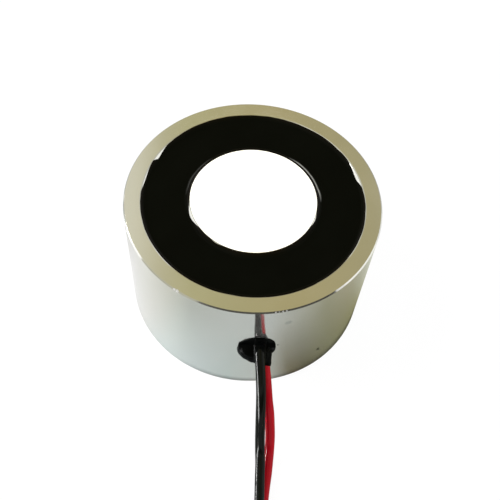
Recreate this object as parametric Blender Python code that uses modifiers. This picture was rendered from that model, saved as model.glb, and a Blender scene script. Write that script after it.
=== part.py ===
"""Round lifting electromagnet: a turned steel pot, a coil cast in resin and two leads.

The back face lies on z = 0 with its centre at the origin, the holding face looks up
along +Z, and the leads leave the side of the pot towards -Y.
"""

import math

import bmesh
import bpy
from mathutils import Vector

MM = 0.001

# Turned steel pot, with the centre pole in one piece. Wall and pole are shares of the
# diameter, so that a smaller or larger magnet keeps its balance of steel and copper.
POT_DIAMETER = 50.0 * MM
POT_HEIGHT = 30.0 * MM
WALL_SHARE = 0.065
POLE_SHARE = 0.5
BACK_THICKNESS = 6.5 * MM
RIM_CHAMFER = 0.3 * MM
GROOVE_EDGE_BREAK = 0.15 * MM
POLE_CHAMFER = 0.25 * MM
BACK_CHAMFER = 0.5 * MM
GROOVE_FILLET = 0.6 * MM
POT_STEPS = 80

# Tapped hole in the back, drawn at its tapping drill: M5
TAP_DRILL_DIAMETER = 4.2 * MM
TAP_MOUTH_DIAMETER = 5.4 * MM
TAP_DEPTH = 10.0 * MM
DRILL_POINT_ANGLE = math.radians(118.0)

# Exit hole in the side, and the two leads that pass it
EXIT_DIAMETER = 7.2 * MM
EXIT_HEIGHT = 16.3 * MM
LEAD_DIAMETER = 1.9 * MM
CONDUCTOR_DIAMETER = 1.0 * MM
PAIR_OFFSET = 0.98 * MM
PAIR_RISE = 0.18 * MM
PAIR_TILT = math.radians(28.0)
LEAD_BEND_RADIUS = 3.0 * MM

# Bead of sealant that closes the exit hole
SEAL_PROUD = 2.0 * MM
SEAL_SINK = 3.2 * MM
COLLAR_LENGTH = 1.1 * MM
COLLAR_WALL = 0.3 * MM
SEAL_STEPS = 32

# Gap that is kept between pieces that touch
FIT = 0.3 * MM

# Moulded bobbin. It and the other thin walls round the winding grow with the pot.
BOBBIN_WALL = 0.016 * POT_DIAMETER
FLANGE_THICKNESS = 0.9 * MM
FLANGE_ROUND = 0.2 * MM
POUR_GAP = 1.55 * MM
SLOT_WIDTH = 1.6 * MM
SLOT_ANGLE = math.radians(75.0)
BOBBIN_STEPS = 48

# Winding, its wire and its tape
WIRE_DIAMETER = 0.4 * MM
WINDING_ROUND = 0.25 * MM
TAPE_THICKNESS = 0.005 * POT_DIAMETER
TAPE_LAP = 0.0024 * POT_DIAMETER
TAPE_LAP_START = math.radians(150.0)
TAPE_LAP_END = math.radians(235.0)
TAPE_STEPS = 54

# Soldered joints and their sleeves, beside the tape
INSULATION_END_ANGLE = math.radians(44.0)
JOINT_LENGTH = 4.0 * MM
JOINT_DIAMETER = 1.2 * MM
SLEEVE_WALL = 0.005 * POT_DIAMETER
SLEEVE_CLEARANCE = 0.004 * POT_DIAMETER
SLEEVE_OVERLAP = 3.0 * MM
SLEEVE_REACH = 1.0 * MM

# Casting resin
RESIN_RECESS = 0.5 * MM
RESIN_COVER = 2.5 * MM
RESIN_SKIN = 0.008 * POT_DIAMETER
MENISCUS_RISE = 0.25 * MM
MENISCUS_WIDTH = 0.9 * MM
RESIN_STEPS = 60

# Free leads: spare turns, tie and stripped ends
COIL_CENTRE_OFFSET = 41.0 * MM
COIL_TURNS = 3
COIL_OUTER_TURN = 12.9 * MM
TURN_PITCH = 1.95 * MM
LAYER_HEIGHT = 1.0 * MM
STACK_PITCH = 1.95 * MM
COIL_STEPS = 48
TIE_ANGLE = math.radians(60.0)
TIE_WIDTH = 2.5 * MM
TIE_THICKNESS = 0.5 * MM
TIE_ROUND = 0.9 * MM
TIE_SLACK = 0.6 * MM
TIE_TWIST_DIAMETER = 1.1 * MM
TIE_TWIST_LENGTH = 6.0 * MM
TINNED_LENGTH = 5.0 * MM

# Each free lead's own points, chosen by hand, from its collar to the spare turns:
# sideways place, distance out from the pot's wall, and height, in millimetres.
BLACK_ROUTE = (
    (0.56, 5.0, 16.9),
    (0.68, 7.0, 15.2),
    (0.74, 9.0, 13.1),
    (0.70, 10.9, 10.9),
    (0.67, 12.7, 8.6),
    (0.61, 14.4, 6.3),
    (0.54, 16.2, 4.4),
    (0.41, 18.3, 3.35),
    (0.23, 20.6, 2.98),
    (0.03, 23.2, 2.95),
    (-0.15, 25.8, 2.95),
    (-0.15, 28.6, 2.95),
    (0.10, 31.0, 2.95),
    (0.20, 33.2, 2.95),
)
RED_ROUTE = (
    (1.62, 4.9, 14.8),
    (1.86, 6.7, 12.9),
    (2.11, 8.4, 10.6),
    (2.35, 10.1, 8.4),
    (2.47, 11.7, 6.2),
    (2.53, 13.4, 4.1),
    (2.43, 15.2, 2.5),
    (2.18, 17.3, 1.4),
    (1.81, 19.6, 1.03),
    (1.32, 22.0, 1.0),
    (0.85, 24.6, 1.0),
    (0.45, 27.4, 1.0),
    (0.25, 30.4, 1.0),
    (0.20, 33.2, 1.0),
)
# The ends inside the spare turns: turn angle in degrees past the last full turn,
# radius and height in millimetres.
RED_TAIL = ((38.0, 5.95, 1.0), (62.0, 4.95, 1.0), (90.0, 4.25, 1.0), (120.0, 4.1, 1.0), (150.0, 4.1, 1.0))
BLACK_TAIL = ((112.0, 6.0, 1.6), (132.0, 6.05, 1.15), (152.0, 6.05, 1.0), (172.0, 6.05, 1.0), (190.0, 6.05, 1.0))

# Sizes that follow from the ones above
POT_RADIUS = POT_DIAMETER / 2
POT_WALL = WALL_SHARE * POT_DIAMETER
POLE_RADIUS = POLE_SHARE * POT_RADIUS
GROOVE_RADIUS = POT_RADIUS - POT_WALL
RESIN_TOP = POT_HEIGHT - RESIN_RECESS
RESIN_RADIUS = GROOVE_RADIUS - FIT
BOBBIN_BOTTOM = BACK_THICKNESS + FIT
BOBBIN_TOP = RESIN_TOP - RESIN_COVER
BOBBIN_BORE_RADIUS = POLE_RADIUS + FIT
BARREL_RADIUS = BOBBIN_BORE_RADIUS + BOBBIN_WALL
FLANGE_RADIUS = GROOVE_RADIUS - POUR_GAP
SLEEVE_INNER_RADIUS = LEAD_DIAMETER / 2 + SLEEVE_CLEARANCE
SLEEVE_RADIUS = SLEEVE_INNER_RADIUS + SLEEVE_WALL
LEAD_RING_RADIUS = RESIN_RADIUS - RESIN_SKIN - FIT - SLEEVE_RADIUS
LAP_RADIUS = LEAD_RING_RADIUS - SLEEVE_RADIUS - FIT
TAPE_RADIUS = LAP_RADIUS - TAPE_LAP
WINDING_RADIUS = TAPE_RADIUS - TAPE_THICKNESS - FIT
WINDING_CORE_RADIUS = BARREL_RADIUS + FIT
WINDING_BOTTOM = BOBBIN_BOTTOM + FLANGE_THICKNESS + FIT
WINDING_TOP = BOBBIN_TOP - FLANGE_THICKNESS - FIT
SLOT_WIRE_HEIGHT = WINDING_TOP + FIT + WIRE_DIAMETER / 2
LEAD_SPACING = LEAD_DIAMETER + FIT
EXIT_END = POT_RADIUS + SEAL_PROUD + COLLAR_LENGTH
INNER_LEAD_END = POT_RADIUS - FIT
BLACK_EXIT = Vector((
    PAIR_OFFSET - LEAD_SPACING / 2 * math.sin(PAIR_TILT),
    -EXIT_END,
    EXIT_HEIGHT + PAIR_RISE + LEAD_SPACING / 2 * math.cos(PAIR_TILT),
))
RED_EXIT = Vector((
    PAIR_OFFSET + LEAD_SPACING / 2 * math.sin(PAIR_TILT),
    -EXIT_END,
    EXIT_HEIGHT + PAIR_RISE - LEAD_SPACING / 2 * math.cos(PAIR_TILT),
))
COIL_CENTRE = Vector((0.2 * MM - COIL_OUTER_TURN, -POT_RADIUS - COIL_CENTRE_OFFSET, 0.0))
RING_OUTER = COIL_OUTER_TURN + LEAD_DIAMETER / 2 + 0.05 * MM
RING_INNER = COIL_OUTER_TURN - (COIL_TURNS - 0.125) * TURN_PITCH
RING_BOTTOM = LAYER_HEIGHT - LEAD_DIAMETER / 2
RING_TOP = RING_BOTTOM + STACK_PITCH + LEAD_DIAMETER


def clear_scene():
    """Start from an empty file."""
    for item in list(bpy.data.objects):
        bpy.data.objects.remove(item, do_unlink=True)


def new_collection(name):
    group = bpy.data.collections.new(name)
    bpy.context.scene.collection.children.link(group)
    return group


def new_material(name, colour, roughness, metallic=0.0):
    """A plain finish: linear colour, roughness and metal."""
    finish = bpy.data.materials.new(name)
    finish.use_nodes = True
    shader = finish.node_tree.nodes["Principled BSDF"]
    shader.inputs["Base Color"].default_value = (*colour, 1.0)
    shader.inputs["Roughness"].default_value = roughness
    shader.inputs["Metallic"].default_value = metallic
    return finish


def add_object(name, data, group, finish=None):
    item = bpy.data.objects.new(name, data)
    group.objects.link(item)
    if finish:
        data.materials.append(finish)
    return item


def arc(centre, radius, start, end, count):
    """Profile points on an arc, angles in degrees from the profile's +r axis."""
    points = []
    for step in range(count + 1):
        angle = math.radians(start + (end - start) * step / count)
        points.append((centre[0] + radius * math.cos(angle), centre[1] + radius * math.sin(angle)))
    return points


def turned(name, profile, steps, group, finish=None, closed=True):
    """A half section of (radius, height) points turned once round the Z axis."""
    mesh = bpy.data.meshes.new(name)
    edges = [(i, i + 1) for i in range(len(profile) - 1)]
    if closed:
        edges.append((len(profile) - 1, 0))
    mesh.from_pydata([(radius, 0.0, height) for radius, height in profile], edges, [])
    item = add_object(name, mesh, group, finish)
    screw = item.modifiers.new("Turn", "SCREW")
    screw.steps = steps
    screw.render_steps = steps
    screw.use_merge_vertices = True
    screw.merge_threshold = 0.00001
    return item


def cylinder(name, radius, start, end, group, radius_end=None, sides=32):
    """A rod or taper between two points."""
    axis = end - start
    mesh = bpy.data.meshes.new(name)
    shape = bmesh.new()
    bmesh.ops.create_cone(
        shape,
        cap_ends=True,
        segments=sides,
        radius1=radius,
        radius2=radius if radius_end is None else radius_end,
        depth=axis.length,
    )
    shape.to_mesh(mesh)
    shape.free()
    item = add_object(name, mesh, group)
    item.location = (start + end) / 2
    item.rotation_euler = axis.to_track_quat("Z", "Y").to_euler()
    return item


def smooth_route(points, spacing):
    """Points at an even spacing on one smooth curve through the route's own points."""
    steps = 24
    first = points[0] * 2 - points[1]
    last = points[-1] * 2 - points[-2]
    padded = [first, *points, last]
    fine = []
    for before, start, end, after in zip(padded, padded[1:], padded[2:], padded[3:]):
        for step in range(steps):
            t = step / steps
            fine.append(
                start
                + (end - before) * (0.5 * t)
                + (before * 2 - start * 5 + end * 4 - after) * (0.5 * t * t)
                + (start * 3 - before - end * 3 + after) * (0.5 * t * t * t)
            )
    fine.append(points[-1].copy())
    length = sum((b - a).length for a, b in zip(fine, fine[1:]))
    count = max(2, round(length / spacing))
    even = [fine[0]]
    walked = 0.0
    for a, b in zip(fine, fine[1:]):
        walked += (b - a).length
        if walked >= len(even) * length / count and len(even) < count:
            even.append(b)
    even.append(fine[-1])
    return even


def tube(name, points, radius, group, finish=None, radii=None):
    """A round wire or sleeve along points, as a curve with filled caps."""
    data = bpy.data.curves.new(name, "CURVE")
    data.dimensions = "3D"
    data.bevel_depth = radius
    data.bevel_resolution = 2
    data.use_fill_caps = True
    spline = data.splines.new("POLY")
    spline.points.add(len(points) - 1)
    for index, place in enumerate(points):
        spline.points[index].co = (*place, 1.0)
        spline.points[index].radius = radii[index] if radii else 1.0
    return add_object(name, data, group, finish)


def settle(item):
    """Replace an object by a mesh of its evaluated shape, caps welded, shaded by angle."""
    bpy.context.view_layer.update()
    graph = bpy.context.evaluated_depsgraph_get()
    mesh = bpy.data.meshes.new_from_object(item.evaluated_get(graph))
    shape = bmesh.new()
    shape.from_mesh(mesh)
    bmesh.ops.remove_doubles(shape, verts=shape.verts, dist=0.000001)
    shape.to_mesh(mesh)
    shape.free()
    name = item.name
    group = item.users_collection[0]
    place = item.matrix_world.copy()
    bpy.data.objects.remove(item, do_unlink=True)
    solid = bpy.data.objects.new(name, mesh)
    group.objects.link(solid)
    solid.matrix_world = place
    mesh.shade_smooth()
    mesh.set_sharp_from_angle(angle=math.radians(35.0))
    return solid


def boolean(item, cutter, operation):
    change = item.modifiers.new(cutter.name, "BOOLEAN")
    change.operation = operation
    change.object = cutter
    change.solver = "EXACT"


def cut(item, cutter):
    boolean(item, cutter, "DIFFERENCE")
    cutter.hide_render = True
    cutter.display_type = "WIRE"


def join(item, other):
    """Grow an object by another one, which is then only a guide."""
    boolean(item, other, "UNION")
    other.hide_render = True
    other.display_type = "WIRE"


def round_the_axis(radius, angle, height):
    """A place round the magnet's axis, its angle counted from the exit towards +X."""
    return Vector((radius * math.sin(angle), -radius * math.cos(angle), height))


def make_pot(group, cutters):
    """Steel pot with groove and pole, its exit hole and the tapped hole in its back."""
    steel = new_material("bright_nickel", (0.72, 0.71, 0.66), 0.08, 1.0)
    tap_radius = TAP_DRILL_DIAMETER / 2
    tap_mouth = TAP_MOUTH_DIAMETER / 2
    drill_point = tap_radius / math.tan(DRILL_POINT_ANGLE / 2)
    profile = [(0.0, POT_HEIGHT)]
    profile += [(POLE_RADIUS - POLE_CHAMFER, POT_HEIGHT), (POLE_RADIUS, POT_HEIGHT - POLE_CHAMFER)]
    profile += arc((POLE_RADIUS + GROOVE_FILLET, BACK_THICKNESS + GROOVE_FILLET), GROOVE_FILLET, 180, 270, 3)
    profile += arc((GROOVE_RADIUS - GROOVE_FILLET, BACK_THICKNESS + GROOVE_FILLET), GROOVE_FILLET, 270, 360, 3)
    profile += [
        (GROOVE_RADIUS, POT_HEIGHT - GROOVE_EDGE_BREAK),
        (GROOVE_RADIUS + GROOVE_EDGE_BREAK, POT_HEIGHT),
        (POT_RADIUS - RIM_CHAMFER, POT_HEIGHT),
        (POT_RADIUS, POT_HEIGHT - RIM_CHAMFER),
        (POT_RADIUS, BACK_CHAMFER),
        (POT_RADIUS - BACK_CHAMFER, 0.0),
        (tap_mouth, 0.0),
        (tap_radius, tap_mouth - tap_radius),
        (tap_radius, TAP_DEPTH),
        (0.0, TAP_DEPTH + drill_point),
    ]
    pot = turned("pot", profile, POT_STEPS, group, steel, closed=False)

    hole = cylinder(
        "exit_hole",
        EXIT_DIAMETER / 2,
        Vector((0.0, -GROOVE_RADIUS + POT_WALL, EXIT_HEIGHT)),
        Vector((0.0, -POT_RADIUS - POT_WALL, EXIT_HEIGHT)),
        cutters,
        sides=48,
    )
    cut(pot, hole)
    return settle(pot)


def make_bobbin(group, cutters):
    """Moulded bobbin: a thin barrel, two flanges and a wire slot on each side."""
    nylon = new_material("natural_nylon", (0.74, 0.70, 0.58), 0.5)
    back_flange = BOBBIN_BOTTOM + FLANGE_THICKNESS
    front_flange = BOBBIN_TOP - FLANGE_THICKNESS
    edge = FLANGE_RADIUS - FLANGE_ROUND
    profile = [(BOBBIN_BORE_RADIUS, BOBBIN_TOP)]
    profile += arc((edge, BOBBIN_TOP - FLANGE_ROUND), FLANGE_ROUND, 90, 0, 2)
    profile += arc((edge, front_flange + FLANGE_ROUND), FLANGE_ROUND, 0, -90, 2)
    profile += [(BARREL_RADIUS + FLANGE_ROUND, front_flange), (BARREL_RADIUS, front_flange - FLANGE_ROUND)]
    profile += [(BARREL_RADIUS, back_flange + FLANGE_ROUND), (BARREL_RADIUS + FLANGE_ROUND, back_flange)]
    profile += arc((edge, back_flange - FLANGE_ROUND), FLANGE_ROUND, 90, 0, 2)
    profile += arc((edge, BOBBIN_BOTTOM + FLANGE_ROUND), FLANGE_ROUND, 0, -90, 2)
    profile.append((BOBBIN_BORE_RADIUS, BOBBIN_BOTTOM))
    bobbin = turned("coil_bobbin", profile, BOBBIN_STEPS, group, nylon)
    for side in (1, -1):
        slot = make_slot(f"wire_slot_{'start' if side > 0 else 'finish'}", side * SLOT_ANGLE, cutters)
        cut(bobbin, slot)
    return settle(bobbin)


def make_slot(name, angle, cutters):
    """Cutter for one open slot in the front flange, round at its inner end."""
    inner = WINDING_CORE_RADIUS + SLOT_WIDTH / 2
    outline = bpy.data.curves.new(name, "CURVE")
    outline.dimensions = "2D"
    outline.fill_mode = "BOTH"
    outline.extrude = FLANGE_THICKNESS
    points = arc((inner, 0.0), SLOT_WIDTH / 2, 90, 270, 8)
    points += [(GROOVE_RADIUS, -SLOT_WIDTH / 2), (GROOVE_RADIUS, SLOT_WIDTH / 2)]
    spline = outline.splines.new("POLY")
    spline.points.add(len(points) - 1)
    for index, (x, y) in enumerate(points):
        spline.points[index].co = (x, y, 0.0, 1.0)
    spline.use_cyclic_u = True
    slot = add_object(name, outline, cutters)
    slot.location = (0.0, 0.0, BOBBIN_TOP - FLANGE_THICKNESS / 2)
    slot.rotation_euler = (0.0, 0.0, angle - math.pi / 2)
    return settle(slot)


def make_winding(group):
    """The turns of enamelled wire, as one ring between the flanges."""
    copper = new_material("enamelled_copper", (0.48, 0.17, 0.06), 0.35, 1.0)
    inner = WINDING_CORE_RADIUS + WINDING_ROUND
    outer = WINDING_RADIUS - WINDING_ROUND
    top = WINDING_TOP - WINDING_ROUND
    bottom = WINDING_BOTTOM + WINDING_ROUND
    profile = arc((inner, top), WINDING_ROUND, 180, 90, 2)
    profile += arc((outer, top), WINDING_ROUND, 90, 0, 2)
    profile += arc((outer, bottom), WINDING_ROUND, 0, -90, 2)
    profile += arc((inner, bottom), WINDING_ROUND, 270, 180, 2)
    return settle(turned("coil_winding", profile, BOBBIN_STEPS, group, copper))


def make_tape(group):
    """Insulating tape round the winding, thicker where its end laps over."""
    film = new_material("polyester_tape", (0.80, 0.52, 0.06), 0.3)
    outline = bpy.data.curves.new("winding_tape", "CURVE")
    outline.dimensions = "2D"
    outline.fill_mode = "BOTH"
    outline.extrude = (WINDING_TOP - WINDING_BOTTOM) / 2 - WINDING_ROUND
    rings = ([], [])
    for step in range(TAPE_STEPS):
        angle = 2 * math.pi * step / TAPE_STEPS
        lapped = TAPE_LAP_START <= angle <= TAPE_LAP_END
        radius = LAP_RADIUS if lapped else TAPE_RADIUS
        rings[0].append((radius * math.cos(angle), radius * math.sin(angle)))
        core = TAPE_RADIUS - TAPE_THICKNESS
        rings[1].append((core * math.cos(angle), core * math.sin(angle)))
    for ring in rings:
        spline = outline.splines.new("POLY")
        spline.points.add(len(ring) - 1)
        for index, (x, y) in enumerate(ring):
            spline.points[index].co = (x, y, 0.0, 1.0)
        spline.use_cyclic_u = True
    tape = add_object("winding_tape", outline, group, film)
    tape.location = (0.0, 0.0, (WINDING_TOP + WINDING_BOTTOM) / 2)
    return settle(tape)


def turn_angle(length):
    """The angle that a length takes up on the ring where the leads run."""
    return length / LEAD_RING_RADIUS


def inner_lead_points(exit_place, side):
    """Route of a lead from its joint, round the tape and straight out through the seal."""
    bend_centre_x = exit_place.x + side * LEAD_BEND_RADIUS
    tangent_y = -math.sqrt(LEAD_RING_RADIUS**2 - bend_centre_x**2)
    start = side * INSULATION_END_ANGLE
    end = math.atan2(bend_centre_x, -tangent_y)
    arc_steps = max(4, round(abs(start - end) * LEAD_RING_RADIUS / LEAD_DIAMETER))
    points = []
    for step in range(arc_steps + 1):
        angle = start + (end - start) * step / arc_steps
        points.append(round_the_axis(LEAD_RING_RADIUS, angle, exit_place.z))
    for turn in (30.0, 60.0, 90.0):
        swing = math.radians(turn)
        points.append(Vector((
            bend_centre_x - side * LEAD_BEND_RADIUS * math.sin(swing),
            tangent_y - LEAD_BEND_RADIUS * (1 - math.cos(swing)),
            exit_place.z,
        )))
    points.append(Vector((exit_place.x, -INNER_LEAD_END, exit_place.z)))
    return smooth_route(points, LEAD_DIAMETER * 0.6)


def joint_points(exit_place, side):
    """Route of a soldered joint, just past the end of the lead's insulation."""
    start = INSULATION_END_ANGLE + turn_angle(FIT)
    end = start + turn_angle(JOINT_LENGTH)
    steps = 5
    return [
        round_the_axis(LEAD_RING_RADIUS, side * (start + (end - start) * step / steps), exit_place.z)
        for step in range(steps + 1)
    ]


def sleeve_points(exit_place, side, extra=0.0):
    """Route of the sleeve that covers the joint and the end of the insulation."""
    start = INSULATION_END_ANGLE - turn_angle(SLEEVE_OVERLAP + extra)
    end = INSULATION_END_ANGLE + turn_angle(FIT + JOINT_LENGTH + SLEEVE_REACH + extra)
    steps = 8
    return [
        round_the_axis(LEAD_RING_RADIUS, side * (start + (end - start) * step / steps), exit_place.z)
        for step in range(steps + 1)
    ]


def wire_points(exit_place, side, inner_radius):
    """Route of a winding end: joint, up to the flange, and in through its slot."""
    joint_end = INSULATION_END_ANGLE + turn_angle(2 * FIT + JOINT_LENGTH)
    rise_start = exit_place.z + 1.5 * MM
    bend = 1.2 * MM
    points = [
        round_the_axis(LEAD_RING_RADIUS, side * joint_end, exit_place.z),
        round_the_axis(LEAD_RING_RADIUS, side * (joint_end + SLOT_ANGLE) / 2, exit_place.z),
        round_the_axis(LEAD_RING_RADIUS, side * (SLOT_ANGLE - turn_angle(0.4 * bend)), exit_place.z + 0.3 * bend),
        round_the_axis(LEAD_RING_RADIUS, side * SLOT_ANGLE, rise_start),
    ]
    rise_end = SLOT_WIRE_HEIGHT - bend
    for share in (0.33, 0.67, 1.0):
        points.append(round_the_axis(LEAD_RING_RADIUS, side * SLOT_ANGLE, rise_start + (rise_end - rise_start) * share))
    points.append(round_the_axis(LEAD_RING_RADIUS - 0.3 * bend, side * SLOT_ANGLE, SLOT_WIRE_HEIGHT - 0.3 * bend))
    points.append(round_the_axis(LEAD_RING_RADIUS - bend, side * SLOT_ANGLE, SLOT_WIRE_HEIGHT))
    points.append(round_the_axis(inner_radius, side * SLOT_ANGLE, SLOT_WIRE_HEIGHT))
    return smooth_route(points, 1.0 * MM)


def make_lead_side(colour_name, exit_place, side, wire_name, inner_radius, finishes, group, cutters):
    """One side's wire, joint, sleeve and inner lead, and the channels that they leave in the resin."""
    copper, solder, sleeving, insulation = finishes
    lead = inner_lead_points(exit_place, side)
    tube(f"{colour_name}_lead_inner", lead, LEAD_DIAMETER / 2, group, insulation)
    wire = wire_points(exit_place, side, inner_radius)
    tube(f"{wire_name}_wire", wire, WIRE_DIAMETER / 2, group, copper)
    joint = joint_points(exit_place, side)
    tube(f"{wire_name}_joint", joint, JOINT_DIAMETER / 2, group, solder, radii=(0.7, 0.95, 1.0, 1.0, 0.85, 0.5))

    outer = tube(f"{wire_name}_sleeve", sleeve_points(exit_place, side), SLEEVE_RADIUS, group, sleeving)
    sleeve = settle(outer)
    bore = settle(tube(f"{wire_name}_sleeve_bore", sleeve_points(exit_place, side, MM), SLEEVE_INNER_RADIUS, cutters))
    cut(sleeve, bore)
    settle(sleeve)

    past_wall = lead + [exit_place]
    channels = (
        tube(f"{colour_name}_lead_channel", past_wall, LEAD_DIAMETER / 2 + FIT, cutters),
        tube(f"{wire_name}_wire_channel", wire, WIRE_DIAMETER / 2 + FIT, cutters),
        tube(f"{wire_name}_sleeve_channel", sleeve_points(exit_place, side, FIT), SLEEVE_RADIUS + 0.25 * MM, cutters),
    )
    return [settle(channel) for channel in channels]


def make_resin(channels, group):
    """The casting: a front ring, the skirt round the coil, and channels where wires run."""
    black = new_material("black_resin", (0.008, 0.008, 0.006), 0.5)
    inner = BOBBIN_BORE_RADIUS
    flange_clear = FLANGE_RADIUS + FIT
    tape_clear = LAP_RADIUS + FIT
    rise_top = RESIN_TOP + MENISCUS_RISE
    rise_foot = RESIN_TOP + 0.2 * MENISCUS_RISE
    profile = [
        (inner, rise_top),
        (inner + 0.4 * MENISCUS_WIDTH, rise_foot),
        (inner + MENISCUS_WIDTH, RESIN_TOP),
        (RESIN_RADIUS - MENISCUS_WIDTH, RESIN_TOP),
        (RESIN_RADIUS - 0.4 * MENISCUS_WIDTH, rise_foot),
        (RESIN_RADIUS, rise_top),
        (RESIN_RADIUS, BACK_THICKNESS + FIT + GROOVE_FILLET),
        (RESIN_RADIUS - GROOVE_FILLET, BACK_THICKNESS + FIT),
        (flange_clear, BACK_THICKNESS + FIT),
        (flange_clear, WINDING_BOTTOM),
        (tape_clear, WINDING_BOTTOM),
        (tape_clear, WINDING_TOP),
        (flange_clear, WINDING_TOP),
        (flange_clear, BOBBIN_TOP + FIT),
        (inner, BOBBIN_TOP + FIT),
    ]
    resin = turned("potting_resin", profile, RESIN_STEPS, group, black)
    for channel in channels:
        cut(resin, channel)
    return settle(resin)


def make_seal(group, cutters):
    """Sealant in the exit hole: a plug, its round outer bead and a collar on each lead."""
    sealant = new_material("black_sealant", (0.012, 0.012, 0.012), 0.3)
    radius = EXIT_DIAMETER / 2 - FIT
    profile = [(0.0, SEAL_PROUD)]
    for step in range(1, 8):
        angle = math.pi / 2 * (1 - step / 8)
        profile.append((radius * math.cos(angle), SEAL_PROUD * math.sin(angle)))
    profile += [(radius, 0.0), (radius, -SEAL_SINK), (0.0, -SEAL_SINK)]
    seal = turned("exit_seal", profile, SEAL_STEPS, group, sealant, closed=False)
    seal.location = (0.0, -POT_RADIUS, EXIT_HEIGHT)
    seal.rotation_euler = (math.pi / 2, 0.0, 0.0)
    tunnel_radius = LEAD_DIAMETER / 2 + FIT
    ends = {"black": BLACK_EXIT, "red": RED_EXIT}
    for name, place in ends.items():
        root = Vector((place.x, -POT_RADIUS, place.z))
        collar = cylinder(
            f"{name}_collar", tunnel_radius + 2.5 * COLLAR_WALL, root, place, cutters, tunnel_radius + COLLAR_WALL, 24
        )
        join(seal, collar)
    for name, place in ends.items():
        back = Vector((place.x, -GROOVE_RADIUS + POT_WALL, place.z))
        tunnel = cylinder(f"{name}_tunnel", tunnel_radius, back, place + Vector((0.0, -MM, 0.0)), cutters, sides=24)
        cut(seal, tunnel)
    return settle(seal)


def free_route(exit_place, chosen):
    """A free lead's points: straight out of the wall and its collar, then the ones chosen by hand."""
    start = Vector((exit_place.x, -INNER_LEAD_END - FIT, exit_place.z))
    points = [start, (start + exit_place) / 2, exit_place]
    for sideways, out, height in chosen:
        points.append(Vector((sideways * MM, -POT_RADIUS - out * MM, height * MM)))
    return smooth_route(points, LEAD_DIAMETER * 1.1)


def coil_place(angle, radius, height):
    """A place in the spare turns, its angle clockwise from the side where the leads come in."""
    return COIL_CENTRE + Vector((radius * math.cos(angle), -radius * math.sin(angle), height))


def make_free_leads(finishes, group):
    """Both leads from the wall to the spare turns, and their ends inside the turns."""
    tinned = new_material("tinned_strands", (0.62, 0.61, 0.58), 0.3, 1.0)
    sides = {
        "black": (BLACK_EXIT, BLACK_ROUTE, BLACK_TAIL),
        "red": (RED_EXIT, RED_ROUTE, RED_TAIL),
    }
    for name, (exit_place, chosen, tail) in sides.items():
        tube(f"{name}_lead", free_route(exit_place, chosen), LEAD_DIAMETER / 2, group, finishes[name])
        tail_points = [coil_place(math.radians(angle), radius * MM, height * MM) for angle, radius, height in tail]
        tail_route = smooth_route(tail_points, LEAD_DIAMETER * 0.8)
        tube(f"{name}_lead_tail", tail_route, LEAD_DIAMETER / 2, group, finishes[name])
        last_angle, last_radius, last_height = tail[-1]
        start_angle = math.radians(last_angle) + FIT / (last_radius * MM)
        swing = TINNED_LENGTH / (last_radius * MM)
        steps = 6
        end_points = [
            coil_place(start_angle + swing * step / steps, last_radius * MM, last_height * MM)
            for step in range(steps + 1)
        ]
        widths = (1.0, 1.0, 1.0, 1.0, 1.0, 0.9, 0.55)
        tube(f"{name}_tinned_end", end_points, CONDUCTOR_DIAMETER / 2, group, tinned, radii=widths)


def make_lead_coil(group, cutters, finish):
    """The outer shape of both leads' spare turns, pinched below where the tie runs."""
    corner = LEAD_DIAMETER / 2
    inner = RING_INNER + corner
    outer = RING_OUTER - corner
    profile = arc((inner, RING_TOP - corner), corner, 180, 90, 2)
    profile += arc((outer, RING_TOP - corner), corner, 90, 0, 2)
    profile += arc((outer, RING_BOTTOM + corner), corner, 0, -90, 2)
    profile += arc((inner, RING_BOTTOM + corner), corner, 270, 180, 2)
    ring = turned("lead_coil", profile, COIL_STEPS, group, finish)
    ring.location = COIL_CENTRE
    middle = (RING_INNER + RING_OUTER) / 2
    pinch = bpy.data.meshes.new("tie_pinch")
    shape = bmesh.new()
    bmesh.ops.create_cube(shape, size=1.0)
    shape.to_mesh(pinch)
    shape.free()
    cutter = add_object("tie_pinch", pinch, cutters)
    depth = TIE_THICKNESS + FIT
    cutter.scale = (2 * (RING_OUTER - RING_INNER), TIE_WIDTH + 2 * FIT, 2 * depth)
    cutter.location = COIL_CENTRE + Vector((middle * math.cos(TIE_ANGLE), middle * math.sin(TIE_ANGLE), 0.0))
    cutter.rotation_euler = (0.0, 0.0, TIE_ANGLE)
    cut(ring, cutter)
    return settle(ring)


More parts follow.
